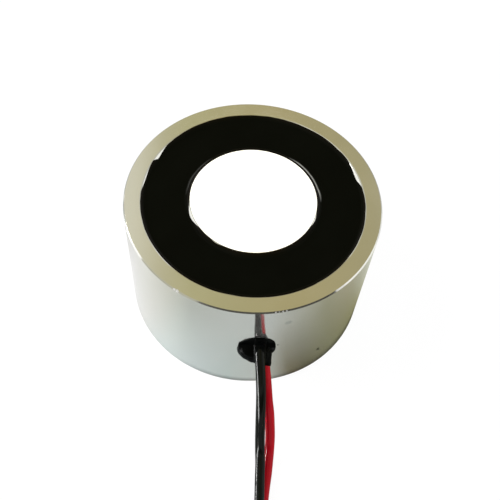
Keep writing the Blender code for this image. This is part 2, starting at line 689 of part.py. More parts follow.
def make_tie(group, cutters):
    """A plastic-covered wire tie: a flat band round the turns, its twisted ends folded on top."""
    plastic = new_material("tie_plastic", (0.02, 0.02, 0.02), 0.5)
    band_top = RING_TOP + TIE_SLACK + TIE_THICKNESS
    inner = RING_INNER - FIT
    outer = RING_OUTER + FIT
    outline = bpy.data.curves.new("lead_tie", "CURVE")
    outline.dimensions = "2D"
    outline.fill_mode = "BOTH"
    outline.extrude = TIE_WIDTH / 2
    grown = TIE_THICKNESS
    loops = (
        (inner - grown, outer + grown, 0.0, band_top, TIE_ROUND + grown),
        (inner, outer, grown, band_top - grown, TIE_ROUND),
    )
    for left, right, low, high, corner in loops:
        points = arc((right - corner, high - corner), corner, 0, 90, 4)
        points += arc((left + corner, high - corner), corner, 90, 180, 4)
        points += arc((left + corner, low + corner), corner, 180, 270, 4)
        points += arc((right - corner, low + corner), corner, 270, 360, 4)
        spline = outline.splines.new("POLY")
        spline.points.add(len(points) - 1)
        for index, (x, y) in enumerate(points):
            spline.points[index].co = (x, y, 0.0, 1.0)
        spline.use_cyclic_u = True
    band = add_object("lead_tie", outline, group, plastic)
    band.location = COIL_CENTRE
    band.rotation_euler = (math.pi / 2, 0.0, TIE_ANGLE)
    tie = settle(band)
    middle = (RING_INNER + RING_OUTER) / 2
    root = COIL_CENTRE + Vector((middle * math.cos(TIE_ANGLE), middle * math.sin(TIE_ANGLE), band_top))
    along = Vector((math.sin(TIE_ANGLE), -math.cos(TIE_ANGLE), 0.0))
    start = root - along * (TIE_WIDTH / 4)
    twist = cylinder(
        "tie_twist", TIE_TWIST_DIAMETER / 2, start, root + along * TIE_TWIST_LENGTH, cutters, TIE_TWIST_DIAMETER / 3, 12
    )
    join(tie, twist)
    return settle(tie)


def main():
    clear_scene()
    group = new_collection("Lifting electromagnet")
    cutters = new_collection("Cutters")
    copper = new_material("wire_enamel", (0.48, 0.17, 0.06), 0.35, 1.0)
    solder = new_material("solder", (0.55, 0.55, 0.53), 0.35, 1.0)
    sleeving = new_material("sleeving", (0.72, 0.70, 0.62), 0.5)
    red = new_material("red_insulation", (0.42, 0.008, 0.015), 0.35)
    black = new_material("black_insulation", (0.01, 0.011, 0.01), 0.3)

    make_pot(group, cutters)
    make_bobbin(group, cutters)
    make_winding(group)
    make_tape(group)
    start_radius = WINDING_CORE_RADIUS + WIRE_DIAMETER
    finish_radius = WINDING_RADIUS - WIRE_DIAMETER
    channels = make_lead_side(
        "red", RED_EXIT, 1, "start", start_radius, (copper, solder, sleeving, red), group, cutters
    )
    channels += make_lead_side(
        "black", BLACK_EXIT, -1, "finish", finish_radius, (copper, solder, sleeving, black), group, cutters
    )
    make_resin(channels, group)
    make_seal(group, cutters)
    make_free_leads({"black": black, "red": red}, group)
    make_lead_coil(group, cutters, black)
    make_tie(group, cutters)


main()
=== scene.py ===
"""Round lifting electromagnet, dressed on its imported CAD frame."""

import math

import bmesh
import bpy
from mathutils import Matrix, Vector, noise


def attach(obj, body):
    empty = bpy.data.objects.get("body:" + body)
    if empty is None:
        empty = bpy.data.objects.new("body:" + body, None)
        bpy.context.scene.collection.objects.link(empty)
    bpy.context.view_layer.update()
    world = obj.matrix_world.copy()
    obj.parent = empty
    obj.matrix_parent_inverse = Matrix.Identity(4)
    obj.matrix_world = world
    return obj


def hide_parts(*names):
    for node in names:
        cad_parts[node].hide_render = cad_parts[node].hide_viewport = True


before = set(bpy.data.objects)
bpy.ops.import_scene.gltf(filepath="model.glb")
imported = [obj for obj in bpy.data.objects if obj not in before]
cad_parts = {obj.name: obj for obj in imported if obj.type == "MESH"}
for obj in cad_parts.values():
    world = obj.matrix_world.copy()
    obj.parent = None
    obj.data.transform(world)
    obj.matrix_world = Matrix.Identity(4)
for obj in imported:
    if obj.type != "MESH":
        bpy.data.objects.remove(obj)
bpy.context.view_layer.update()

# The magnet lies on a white table in a small studio. White, grey, olive and near black
# cards are held round and over it, and are seen only where a shiny surface mirrors them.
bpy.context.scene.view_settings.view_transform = "Standard"
WHITE = (1.0, 1.0, 1.0)
PURE_WHITE_SHARE = 0.88


def feed(tree, node, inputs):
    """Set a node's inputs, each to a number, a colour or another node's output."""
    for name, value in inputs.items():
        socket = node.inputs[name]
        if isinstance(value, bpy.types.NodeSocket):
            tree.links.new(value, socket)
        elif socket.type == "RGBA":
            socket.default_value = (*value, 1.0)
        else:
            socket.default_value = value


def add_node(tree, kind, inputs, **settings):
    """A node with its settings and its inputs."""
    node = tree.nodes.new(kind)
    for setting, value in settings.items():
        setattr(node, setting, value)
    feed(tree, node, inputs)
    return node


def add_math(tree, operation, first, second):
    """What comes out of reckoning with two numbers."""
    return add_node(tree, "ShaderNodeMath", {0: first, 1: second}, operation=operation).outputs[0]


def add_range(tree, value, span, result=(0.0, 1.0), **settings):
    """Carry a value from one span over to another, held at both ends."""
    names = ("Value", "From Min", "From Max", "To Min", "To Max")
    inputs = dict(zip(names, (value, *span, *result)))
    return add_node(tree, "ShaderNodeMapRange", inputs, **settings).outputs["Result"]


def add_mix(tree, share, first, second):
    """A colour between two others."""
    inputs = {"Factor": share, "A": first, "B": second}
    return add_node(tree, "ShaderNodeMix", inputs, data_type="RGBA").outputs["Result"]


def add_ramp(tree, value, stops):
    """Colours given at chosen values and blended in between."""
    first = stops[0][0]
    last = stops[-1][0]
    ramp = add_node(tree, "ShaderNodeValToRGB", {"Fac": add_range(tree, value, (first, last))})
    colours = ramp.color_ramp.elements
    colours[0].color = (*stops[0][1], 1.0)
    colours[1].color = (*stops[-1][1], 1.0)
    for at, colour in stops[1:-1]:
        colours.new((at - first) / (last - first)).color = (*colour, 1.0)
    return ramp.outputs["Color"]


def object_place(tree):
    """The place on the piece, in metres from its origin."""
    return add_node(tree, "ShaderNodeTexCoord", {}).outputs["Object"]


def viewing_rays(tree):
    """1 for rays that see straight, in a mirror or through glass, and 0 for rays that light."""
    rays = tree.nodes.new("ShaderNodeLightPath").outputs
    straight_or_mirrored = add_math(tree, "MAXIMUM", rays["Is Camera Ray"], rays["Is Glossy Ray"])
    return add_math(tree, "MAXIMUM", straight_or_mirrored, rays["Is Transmission Ray"])


def bare_finish(name):
    """A finish with an empty node tree."""
    finish = bpy.data.materials.new(name)
    finish.use_nodes = True
    finish.node_tree.nodes.clear()
    return finish, finish.node_tree


def stage_sheet(name, width, length, place, finish):
    """A flat sheet of the studio, kept apart from the magnet."""
    bpy.ops.object.select_all(action="DESELECT")
    bpy.ops.mesh.primitive_plane_add(size=1.0)
    sheet = bpy.context.object
    sheet.name = name
    sheet.scale = (width, length, 1.0)
    bpy.ops.object.transform_apply(location=False, rotation=False, scale=True)
    sheet.location = place
    sheet.data.materials.append(finish)
    return sheet


# The table is seen as pure white for the most part, and the rest of it takes the shadow.
table, tree = bare_finish("white_table")
paper = add_node(tree, "ShaderNodeBsdfDiffuse", {"Color": (0.84, 0.84, 0.84)})
background = add_node(tree, "ShaderNodeEmission", {"Color": WHITE, "Strength": 1.07})
pure_white = add_math(tree, "MULTIPLY", viewing_rays(tree), PURE_WHITE_SHARE)
layers = {0: pure_white, 1: paper.outputs[0], 2: background.outputs[0]}
mix = add_node(tree, "ShaderNodeMixShader", layers)
add_node(tree, "ShaderNodeOutputMaterial", {"Surface": mix.outputs[0]})
stage_sheet("table", 4.0, 4.0, (0.0, 0.0, -0.0002), table)

world = bpy.data.worlds.new("pale_room")
bpy.context.scene.world = world
world.use_nodes = True
tree = world.node_tree
room = tree.nodes["Background"]
feed(tree, room, {"Color": (0.96, 0.97, 1.0), "Strength": 0.45})
backdrop = add_node(tree, "ShaderNodeBackground", {"Color": WHITE})
layers = {0: viewing_rays(tree), 1: room.outputs[0], 2: backdrop.outputs[0]}
mix = add_node(tree, "ShaderNodeMixShader", layers)
feed(tree, tree.nodes["World Output"], {"Surface": mix.outputs[0]})


def shine(tree, colour, strength=1.0):
    """Let a card give off its colour."""
    glow = add_node(tree, "ShaderNodeEmission", {"Color": colour, "Strength": strength})
    add_node(tree, "ShaderNodeOutputMaterial", {"Surface": glow.outputs[0]})


def seen_mirrored(sheet):
    """The card is seen in shiny surfaces, and neither lights nor shades the magnet."""
    sheet.visible_camera = False
    sheet.visible_diffuse = False
    sheet.visible_shadow = False
    sheet.visible_transmission = False


def striped_card(name, stops):
    """A glowing card whose colour changes across its width."""
    finish, tree = bare_finish(name)
    across = add_node(tree, "ShaderNodeSeparateXYZ", {0: object_place(tree)}).outputs["X"]
    shine(tree, add_ramp(tree, across, stops))
    return finish


# The card over the magnet that rim and pole mirror: places across it in metres, and tones.
OVERHEAD_TONES = (
    (-0.55, (0.45, 0.46, 0.41)), (-0.20, (0.45, 0.46, 0.40)), (-0.15, (0.80, 0.79, 0.66)),
    (-0.081, (0.80, 0.77, 0.61)), (-0.062, (0.56, 0.52, 0.31)), (-0.045, (0.50, 0.465, 0.215)),
    (0.02, (0.455, 0.385, 0.155)), (0.081, (0.435, 0.385, 0.185)), (0.16, (0.62, 0.62, 0.55)),
    (0.55, (0.66, 0.66, 0.60)),
)
olive_card = striped_card("olive_card", OVERHEAD_TONES)
seen_mirrored(stage_sheet("olive_card", 1.1, 0.9, (0.028, 0.10, 0.335), olive_card))

# The upright cards are set by the level of the pot's working face, in metres.
FACE_LEVEL = 0.03


def plain_card(name, colour, strength=1.0):
    """A glowing card of one colour."""
    finish, tree = bare_finish(name)
    shine(tree, colour, strength)
    return finish


def upright_card(name, direction, distance, low, high, spread, finish):
    """An upright card: where it stands, in degrees from the front towards +X, the heights that
    it covers, in degrees over the level of the pot's face, and its half width in degrees."""
    turn = math.radians(direction)
    bottom = distance * math.tan(math.radians(low))
    top = distance * math.tan(math.radians(high))
    width = 2 * distance * math.tan(math.radians(spread))
    height = FACE_LEVEL + (bottom + top) / 2
    place = (distance * math.sin(turn), -distance * math.cos(turn), height)
    sheet = stage_sheet(name, width, top - bottom, place, finish)
    sheet.rotation_euler = (math.pi / 2, 0.0, turn)
    seen_mirrored(sheet)


white_card = plain_card("white_card", (1.0, 1.0, 0.98), 1.25)
dark_card = plain_card("dark_card", (0.035, 0.03, 0.012))
corner_card = plain_card("corner_card", (0.50, 0.49, 0.38))
low_card = plain_card("low_card", (0.50, 0.52, 0.49))
back_card = plain_card("back_card", (0.36, 0.32, 0.17))
upright_card("left_card", -104.0, 0.6, 1.0, 30.0, 25.0, white_card)
upright_card("right_card", 96.0, 0.6, 0.5, 27.0, 30.0, white_card)
upright_card("front_card", 4.0, 0.5, 13.0, 34.0, 55.0, dark_card)
upright_card("corner_card", -65.0, 0.58, 6.0, 32.0, 25.0, corner_card)
upright_card("low_card", -119.0, 0.33, -5.0, 3.2, 15.0, low_card)
upright_card("back_card", 180.0, 0.6, 4.0, 32.0, 20.0, back_card)

# The tones that the pot's foot mirrors from the table, by degrees from the front towards +X:
# one run beside the wall and one further out. Their dark stretch to the right is the pot's
# painted shadow on the table, and the darker line close to the wall is a painted contact shadow.
NEAR_TONES = (
    (-180.0, (0.62, 0.63, 0.58)), (-130.0, (0.62, 0.63, 0.58)), (-95.0, (0.93, 0.93, 0.93)),
    (-68.0, (0.95, 0.96, 0.95)), (-48.0, (0.86, 0.96, 0.97)), (-30.0, (0.70, 0.79, 0.82)),
    (-12.0, (0.58, 0.67, 0.67)), (4.0, (0.58, 0.62, 0.60)), (19.0, (0.14, 0.12, 0.055)),
    (28.0, (0.10, 0.09, 0.035)), (45.0, (0.19, 0.19, 0.10)), (72.0, (0.26, 0.25, 0.12)),
    (90.0, (0.52, 0.52, 0.39)), (115.0, (0.85, 0.85, 0.82)), (135.0, (0.62, 0.63, 0.58)),
    (180.0, (0.62, 0.63, 0.58)),
)
FAR_TONES = (
    (-180.0, (0.62, 0.63, 0.58)), (-130.0, (0.62, 0.63, 0.58)), (-95.0, (0.94, 0.94, 0.93)),
    (-80.0, (0.93, 0.94, 0.90)), (-58.0, (0.74, 0.75, 0.69)), (-40.0, (0.56, 0.60, 0.57)),
    (-15.0, (0.62, 0.66, 0.65)), (5.0, (0.60, 0.64, 0.64)), (22.0, (0.49, 0.51, 0.47)),
    (48.0, (0.355, 0.355, 0.245)), (66.0, (0.42, 0.40, 0.28)), (90.0, (0.63, 0.65, 0.56)),
    (110.0, (0.86, 0.86, 0.83)), (130.0, (0.34, 0.34, 0.30)), (160.0, (0.34, 0.34, 0.30)),
    (180.0, (0.50, 0.51, 0.46)),
)
# The stretches from the axis, in metres, over which the near run gives way to the far one and
# the painted contact shadow line ends, and the turn over which its strength falls from the first
# to the second.
NEAR_TO_FAR = (0.025, 0.039)
SHADOW_LINE_END = (0.0254, 0.0260)
SHADOW_LINE_TURN = (math.radians(-40.0), math.radians(-12.0))
SHADOW_LINE_STRENGTHS = (0.95, 0.5)


def floor_shadow_card_finish():
    """A glowing card on the table that gives the foot of the wall its tones, painted shadow included."""
    finish, tree = bare_finish("floor_card")
    place = object_place(tree)
    split = add_node(tree, "ShaderNodeSeparateXYZ", {0: place}).outputs
    front = add_math(tree, "MULTIPLY", split["Y"], -1.0)
    around = add_math(tree, "ARCTAN2", split["X"], front)
    reach = add_node(tree, "ShaderNodeVectorMath", {0: place}, operation="LENGTH").outputs["Value"]
    runs = []
    for tones in (NEAR_TONES, FAR_TONES):
        stops = [(math.radians(degrees), colour) for degrees, colour in tones]
        runs.append(add_ramp(tree, around, stops))
    colour = add_mix(tree, add_range(tree, reach, NEAR_TO_FAR), *runs)
    # The painted contact shadow: a thin darker line at the wall's foot, faint on the left, darker to the
    # right.
    shadow_line_strength = add_range(tree, around, SHADOW_LINE_TURN, SHADOW_LINE_STRENGTHS)
    shine(tree, colour, add_range(tree, reach, SHADOW_LINE_END, (shadow_line_strength, 1.0)))
    return finish


seen_mirrored(stage_sheet("floor_card", 0.4, 0.4, (0.0, 0.0, 0.00002), floor_shadow_card_finish()))


def add_object(name, data):
    """Put a lamp, a camera, a mesh or a curve into the scene."""
    thing = bpy.data.objects.new(name, data)
    bpy.context.scene.collection.objects.link(thing)
    return thing


def add_lamp(name, width, length, place, aim, power, colour=WHITE):
    """A soft rectangular lamp, turned to a point."""
    lamp = bpy.data.lights.new(name, "AREA")
    lamp.shape = "RECTANGLE"
    lamp.size = width
    lamp.size_y = length
    lamp.energy = power
    lamp.color = colour
    holder = add_object(name, lamp)
    holder.location = place
    holder.rotation_euler = (Vector(aim) - Vector(place)).to_track_quat("-Z", "Y").to_euler()
    holder.visible_camera = False
    return holder


MAGNET = (0.0, -0.01, 0.02)
add_lamp("key_lamp", 0.35, 0.35, (-0.42, 0.10, 0.42), MAGNET, 1.9, (1.0, 0.99, 0.97))
for name, length, place, aim, power in (
    ("lead_window", 0.115, (-0.405, -0.33, 0.062), (0.0, -0.035, 0.01), 5.5),
    ("table_strip", 0.035, (-0.40, -0.02, 0.02), (0.0, -0.055, 0.003), 4.4),
):
    window = add_lamp(name, 0.34, length, place, aim, power)
    window.visible_diffuse = False
fill = add_lamp("fill_lamp", 0.5, 0.5, (0.40, -0.35, 0.45), MAGNET, 0.8, (0.97, 0.98, 1.0))
fill.visible_glossy = False
disc = add_lamp("pole_lamp", 0.106, 0.106, (0.0278, 0.2222, 0.33), (0.0278, 0.2222, 0.0), 0.06)
disc.data.shape = "DISK"

# The camera stands in front of the magnet and looks down on it, as the photograph's does.
CAMERA_PLACE = (-0.011084, -0.088486, 0.149441)
camera_data = bpy.data.cameras.new("camera")
camera_data.lens = 55.48
camera_data.sensor_width = 36.0
camera_data.clip_start = 0.005
camera_data.clip_end = 20.0
camera = add_object("camera", camera_data)
right = Vector((0.99751, -0.05010, 0.04963))
up = Vector((0.01526, 0.84047, 0.54164))
back = Vector((-0.06886, -0.53953, 0.83915))
turned = Matrix((right, up, back)).transposed().to_4x4()
camera.matrix_world = Matrix.Translation(CAMERA_PLACE) @ turned
bpy.context.scene.camera = camera

# The pot is turned from one bar of steel, wall, back and centre pole together. It is
# drilled in its side for the leads, tapped in its back, and plated with bright nickel.
MM = 0.001
POT_SIDES = 240
POT_RADIUS = 25.0 * MM
POT_HEIGHT = 30.0 * MM
GROOVE_RADIUS = 21.3 * MM
UNDERCUT_RADIUS = 21.75 * MM
UNDERCUT_TOP = 28.3 * MM
POLE_RADIUS = 12.85 * MM
GROOVE_FLOOR = 6.5 * MM
RIM_CHAMFER = 0.25 * MM
GROOVE_CHAMFER = 0.45 * MM
GROOVE_EDGE_BREAK = 0.13 * MM
POLE_CHAMFER = 0.5 * MM
POLE_EDGE_BREAK = 0.07 * MM
FOOT_CHAMFER = 0.5 * MM
EXIT_RADIUS = 3.6 * MM
EXIT_HEIGHT = 16.3 * MM
DRILL_MIDDLE = 23.5 * MM
DRILL_LENGTH = 6.0 * MM
TAP_MOUTH_RADIUS = 2.7 * MM
TAP_RADIUS = 2.5 * MM
TAP_MOUTH_DEPTH = 0.2 * MM
TAP_DEPTH = 10.0 * MM
DRILL_TIP = 1.2 * MM
DRILL_TIP_SHARE = 0.02
THREAD_PITCH = 0.8 * MM
THREAD_TURNS = 11
THREAD_STEPS = 40
PLATING_SMOOTH_BELOW = math.radians(15.0)


def pick_faces(piece, wanted):
    """Select the faces, and no others, whose middle and normal are wanted."""
    shape = bmesh.from_edit_mesh(piece.data)
    for face in shape.faces:
        face.select_set(False)
    for face in shape.faces:
        if wanted(face.calc_center_median(), face.normal):
            face.select_set(True)
    bmesh.update_edit_mesh(piece.data)


def middle_of_top(middle, normal):
    """The upward face on the pot's axis."""
    return normal.z > 0.9 and middle.xy.length < MM


def middle_of_back(middle, normal):
    """The downward face on the pot's axis."""
    return normal.z < -0.9 and middle.xy.length < MM and middle.z < MM


def raise_faces(height):
    """Extrude the picked faces straight up, or down by a height below nought."""
    bpy.ops.mesh.extrude_region_move(TRANSFORM_OT_translate={"value": (0.0, 0.0, height)})


def widen_faces(share):
    """Scale the picked faces about the pot's axis."""
    bpy.ops.transform.resize(value=(share, share, 1.0), center_override=(0.0, 0.0, 0.0))


def chamfer_ring(piece, radius, height, width):
    """Chamfer the ring of edges at a radius and a height."""
    shape = bmesh.from_edit_mesh(piece.data)
    for face in shape.faces:
        face.select_set(False)
    for edge in shape.edges:
        on_ring = all(
            abs(corner.co.xy.length - radius) < 0.03 * MM and abs(corner.co.z - height) < 0.01 * MM
            for corner in edge.verts
        )
        edge.select_set(on_ring)
    bmesh.update_edit_mesh(piece.data)
    bpy.ops.mesh.bevel(offset=width, segments=1, affect="EDGES")


def add_plug(radius, length, out, height):
    """A cylinder along the axis of the side hole."""
    bpy.ops.object.select_all(action="DESELECT")
    place = (0.0, -out, height)
    bpy.ops.mesh.primitive_cylinder_add(
        vertices=96, radius=radius, depth=length, location=place, rotation=(math.pi / 2, 0.0, 0.0)
    )
    return bpy.context.object


def select_only(piece):
    """Select one piece and make it the active one."""
    bpy.ops.object.select_all(action="DESELECT")
    piece.select_set(True)
    bpy.context.view_layer.objects.active = piece


def apply_modifier(piece, kind, **settings):
    """Shape a piece with a modifier and apply it."""
    select_only(piece)
    modifier = piece.modifiers.new("shaping", kind)
    for setting, value in settings.items():
        setattr(modifier, setting, value)
    bpy.ops.object.modifier_apply(modifier=modifier.name)


def turn_faces_outwards():
    """Recalculate all normals of the active piece."""
    bpy.ops.object.mode_set(mode="EDIT")
    bpy.ops.mesh.select_all(action="SELECT")
    bpy.ops.mesh.normals_make_consistent(inside=False)
    bpy.ops.object.mode_set(mode="OBJECT")


def join_to(piece, others):
    """Join other pieces to this one."""
    select_only(piece)
    for other in others:
        other.select_set(True)
    bpy.ops.object.join()


bpy.ops.object.select_all(action="DESELECT")
bpy.ops.mesh.primitive_cylinder_add(
    vertices=POT_SIDES, radius=POT_RADIUS, depth=POT_HEIGHT, location=(0.0, 0.0, POT_HEIGHT / 2)
)
pot = bpy.context.object
pot.name = "plated_pot"
bpy.ops.object.transform_apply(location=True, rotation=False, scale=False)
bpy.ops.object.mode_set(mode="EDIT")
bpy.ops.mesh.select_mode(type="FACE")
pick_faces(pot, middle_of_top)
bpy.ops.mesh.inset(thickness=POT_RADIUS - GROOVE_RADIUS)
pick_faces(pot, middle_of_top)
raise_faces(UNDERCUT_TOP - POT_HEIGHT)
raise_faces(0.0)
widen_faces(UNDERCUT_RADIUS / GROOVE_RADIUS)
raise_faces(GROOVE_FLOOR - UNDERCUT_TOP)
bpy.ops.mesh.inset(thickness=UNDERCUT_RADIUS - POLE_RADIUS)
pick_faces(pot, middle_of_top)
raise_faces(POT_HEIGHT - GROOVE_FLOOR)
pick_faces(pot, middle_of_back)
bpy.ops.mesh.inset(thickness=POT_RADIUS - TAP_MOUTH_RADIUS)
pick_faces(pot, middle_of_back)
raise_faces(TAP_MOUTH_DEPTH)
widen_faces(TAP_RADIUS / TAP_MOUTH_RADIUS)
raise_faces(TAP_DEPTH - TAP_MOUTH_DEPTH)
raise_faces(DRILL_TIP)
widen_faces(DRILL_TIP_SHARE)
bpy.ops.mesh.select_mode(type="EDGE")
for radius, height, width in (
    (POT_RADIUS, POT_HEIGHT, RIM_CHAMFER),
    (GROOVE_RADIUS, POT_HEIGHT, GROOVE_CHAMFER),
    (POLE_RADIUS, POT_HEIGHT, POLE_CHAMFER),
    (GROOVE_RADIUS + GROOVE_CHAMFER, POT_HEIGHT, GROOVE_EDGE_BREAK),
    (POLE_RADIUS - POLE_CHAMFER, POT_HEIGHT, POLE_EDGE_BREAK),
    (POT_RADIUS, 0.0, FOOT_CHAMFER),
):
    chamfer_ring(pot, radius, height, width)
turn_faces_outwards()

exit_drill = add_plug(EXIT_RADIUS, DRILL_LENGTH, DRILL_MIDDLE, EXIT_HEIGHT)
apply_modifier(pot, "BOOLEAN", operation="DIFFERENCE", object=exit_drill, solver="EXACT")
bpy.data.objects.remove(exit_drill, do_unlink=True)

# The thread of the tapped hole is one ridge wound up the bore. Its section's corners are
# given by radius and height in millimetres.
ridge = ((2.52, 0.30), (2.12, 0.55), (2.12, 0.75), (2.52, 1.00))
thread_mesh = bpy.data.meshes.new("back_thread")
corners = [(radius * MM, 0.0, height * MM) for radius, height in ridge]
thread_mesh.from_pydata(corners, [(0, 1), (1, 2), (2, 3), (3, 0)], [])
thread = add_object("back_thread", thread_mesh)
winding = {"iterations": THREAD_TURNS, "steps": THREAD_STEPS, "render_steps": THREAD_STEPS}
apply_modifier(thread, "SCREW", screw_offset=THREAD_PITCH, **winding)
turn_faces_outwards()
join_to(pot, [thread])
bpy.ops.object.shade_smooth_by_angle(angle=PLATING_SMOOTH_BELOW)

# Marks on the plating: place and size in millimetres, how much they cover, and colour. They
# are the two ends of a rust speck, a grey smudge under the rim and a mark beside the hole.
MARKS = (
    ((13.22, -21.22, 7.15), 0.55, 1.0, (0.004, 0.005, 0.003)),
    ((13.50, -21.04, 6.45), 0.38, 1.0, (0.006, 0.007, 0.005)),
    ((5.35, -24.42, 25.25), 0.95, 0.5, (0.45, 0.48, 0.46)),
    ((4.05, -24.67, 16.6), 0.30, 1.0, (0.20, 0.20, 0.18)),
)
# Places and sizes in millimetres where the rim's outer edge is nicked. There the plating turns
# matt and pale, a painted glint that shows bright across the dark edge line.
NICK_GLINTS = (
    ((2.64, -24.80, 29.90), 0.19), ((3.25, -24.72, 29.90), 0.12), ((3.95, -24.62, 29.90), 0.18),
    ((4.60, -24.51, 29.90), 0.20), ((-14.75, -20.10, 29.88), 0.42), ((-15.25, -19.72, 29.88), 0.34),
)
UNHARMED_PLATING = 0.90


def new_finish(name):
    """A finish with its node tree and its shader."""
    finish = bpy.data.materials.new(name)
    finish.use_nodes = True
    return finish, finish.node_tree, finish.node_tree.nodes["Principled BSDF"]


def add_noise(tree, place, scale, detail=2.0, roughness=0.5):
    """A cloudy pattern from 0 to 1."""
    inputs = {"Vector": place, "Scale": scale, "Detail": detail, "Roughness": roughness}
    return add_node(tree, "ShaderNodeTexNoise", inputs).outputs["Fac"]


def add_bump(tree, height, strength, distance):
    """Fine relief from a pattern."""
    inputs = {"Height": height, "Strength": strength, "Distance": distance}
    return add_node(tree, "ShaderNodeBump", inputs).outputs["Normal"]


def add_vector(tree, operation, inputs, output="Value"):
    """What comes out of reckoning with places."""
    return add_node(tree, "ShaderNodeVectorMath", inputs, operation=operation).outputs[output]


def add_spot(tree, place, spot, span, result, **settings):
    """A round spot that fades outwards, its place and span in millimetres."""
    away = add_vector(tree, "DISTANCE", {0: place, 1: Vector(spot) * MM})
    return add_range(tree, away, (span[0] * MM, span[1] * MM), result, **settings)


def plated_steel():
    """Bright nickel over turned steel: faint rings of the tool, soft smudges and a few marks."""
    finish, tree, shader = new_finish("bright_nickel")
    place = object_place(tree)
    height = add_node(tree, "ShaderNodeSeparateXYZ", {0: place}).outputs["Z"]
    flat = add_vector(tree, "MULTIPLY", {0: place, 1: (1.0, 1.0, 0.0)}, "Vector")
    radius = add_vector(tree, "LENGTH", {0: flat})
    section = add_node(tree, "ShaderNodeCombineXYZ", {"X": radius, "Z": height}).outputs["Vector"]
    smudges = add_noise(tree, place, 85.0, 4.0, 0.6)
    colour = add_mix(tree, smudges, (0.70, 0.70, 0.665), (0.77, 0.76, 0.71))
    for spot, size, cover, mark in MARKS:
        span = (0.35 * size, size)
        fade = add_spot(tree, place, spot, span, (cover, 0.0), interpolation_type="SMOOTHSTEP")
        colour = add_mix(tree, fade, colour, mark)
    plating = UNHARMED_PLATING
    # Painted glints: at each nick the plating loses its metal and shows pale and lit.
    for spot, size in NICK_GLINTS:
        nick = add_spot(tree, place, spot, (0.5 * size, size), (0.0, UNHARMED_PLATING))
        plating = add_math(tree, "MINIMUM", plating, nick)
    feed(tree, shader, {
        "Base Color": colour,
        "Metallic": plating,
        "Roughness": add_range(tree, smudges, (0.3, 0.7), (0.06, 0.11)),
        "Normal": add_bump(tree, add_noise(tree, section, 5200.0), 0.05, 0.02 * MM),
    })
    return finish


def repaint(piece, finish):
    """Give a piece its finish and no other."""
    piece.data.materials.clear()
    piece.data.materials.append(finish)


repaint(pot, plated_steel())
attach(pot, "root")
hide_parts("pot")

# The coil sits out of sight in the pot: moulded bobbin, enamelled wire, tape, soldered
# joints in their sleeves. These keep the frame's own solids, in their true finishes.


def inner_finish(name, light, dark, scale, roughness, metallic, banded):
    """A hidden piece's finish: two close tones in a fine grain, or in bands across the axis."""
    finish, tree, shader = new_finish(name)
    place = object_place(tree)
    if banded:
        inputs = {"Vector": place, "Scale": scale}
        grain = add_node(tree, "ShaderNodeTexWave", inputs, bands_direction="Z").outputs["Fac"]
    else:
        grain = add_noise(tree, place, scale)
    feed(tree, shader, {
        "Base Color": add_mix(tree, grain, dark, light),
        "Metallic": metallic,
        "Roughness": roughness,
        "Normal": add_bump(tree, grain, 0.3, 0.1 * MM),
    })
    return finish


for name, light, dark, scale, roughness, metallic, *solids in (
    ("moulded_nylon", (0.78, 0.74, 0.63), (0.72, 0.68, 0.56), 900.0, 0.45, 0.0, "coil_bobbin"),
    ("enamelled_wire", (0.62, 0.22, 0.08), (0.36, 0.11, 0.04), 800.0, 0.32, 1.0, "coil_winding"),
    ("wire_end", (0.60, 0.22, 0.08), (0.50, 0.17, 0.06), 1200.0, 0.32, 1.0, "start_wire", "finish_wire"),
    ("polyester_film", (0.82, 0.55, 0.07), (0.74, 0.47, 0.05), 700.0, 0.28, 0.0, "winding_tape"),
    ("soldered", (0.66, 0.66, 0.64), (0.42, 0.42, 0.41), 2500.0, 0.35, 1.0, "start_joint", "finish_joint"),
    ("woven_sleeve", (0.76, 0.74, 0.66), (0.66, 0.64, 0.56), 3000.0, 0.55, 0.0,
     "start_sleeve", "finish_sleeve"),
    ("inner_red_insulation", (0.42, 0.01, 0.018), (0.34, 0.007, 0.014), 300.0, 0.3, 0.0, "red_lead_inner"),
    ("inner_black_insulation", (0.016, 0.017, 0.016), (0.010, 0.011, 0.010), 300.0, 0.3, 0.0,
     "black_lead_inner"),
):
    finish = inner_finish(name, light, dark, scale, roughness, metallic, name == "enamelled_wire")
    for solid in solids:
        repaint(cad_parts[solid], finish)

# Black resin is cast into the groove over the coil. Its top lies half a millimetre down
# and creeps up rim and pole by an uneven film, with bare plating left between its lobes.
# Heights and radii in this section are in millimetres.
RESIN_TOP = 29.5
LID_BOTTOM = 28.2
LID_SLICES = 256
LID_CORNERS = 25
LID_RING = 17.0
LID_RING_HALF_WIDTH = 4.0
FILM_ON_WALL = 0.05
SHORTEST_CLIMB = 0.03
CHAMFER_SLOPE = 0.7071
HIGHEST_FILM = 29.995
WAVY_ABOVE = 29.3
WAVE_HEIGHT = 0.025
WAVE_PACE = 0.45
RIPPLE_HEIGHT = 0.008
RIPPLE_PACE = 2.2
RESIN_SMOOTH_BELOW = math.radians(50.0)


def bearing(x, y):
    """Degrees round the axis from the side with the leads, growing towards +X."""
    return math.degrees(math.atan2(x, -y))


def blend_between(value, start, end):
    """0 up to start, 1 from end, smooth between."""
    share = min(1.0, max(0.0, (value - start) / (end - start)))
    return share * share * (3.0 - 2.0 * share)


def ragged(angle, seed, pace):
    """Uneven run of an edge round the axis, from -1 to 1, the same each time."""
    turn = math.radians(angle)
    return noise.noise(Vector((pace * math.cos(turn), pace * math.sin(turn), seed)))


def lobe(angle, start, peak, end):
    """A bare sliver that opens from start to peak and closes at end, either way round."""
    if start > end:
        return lobe(-angle, -start, -peak, -end)
    return blend_between(angle, start, peak) * (1.0 - blend_between(angle, peak, end))


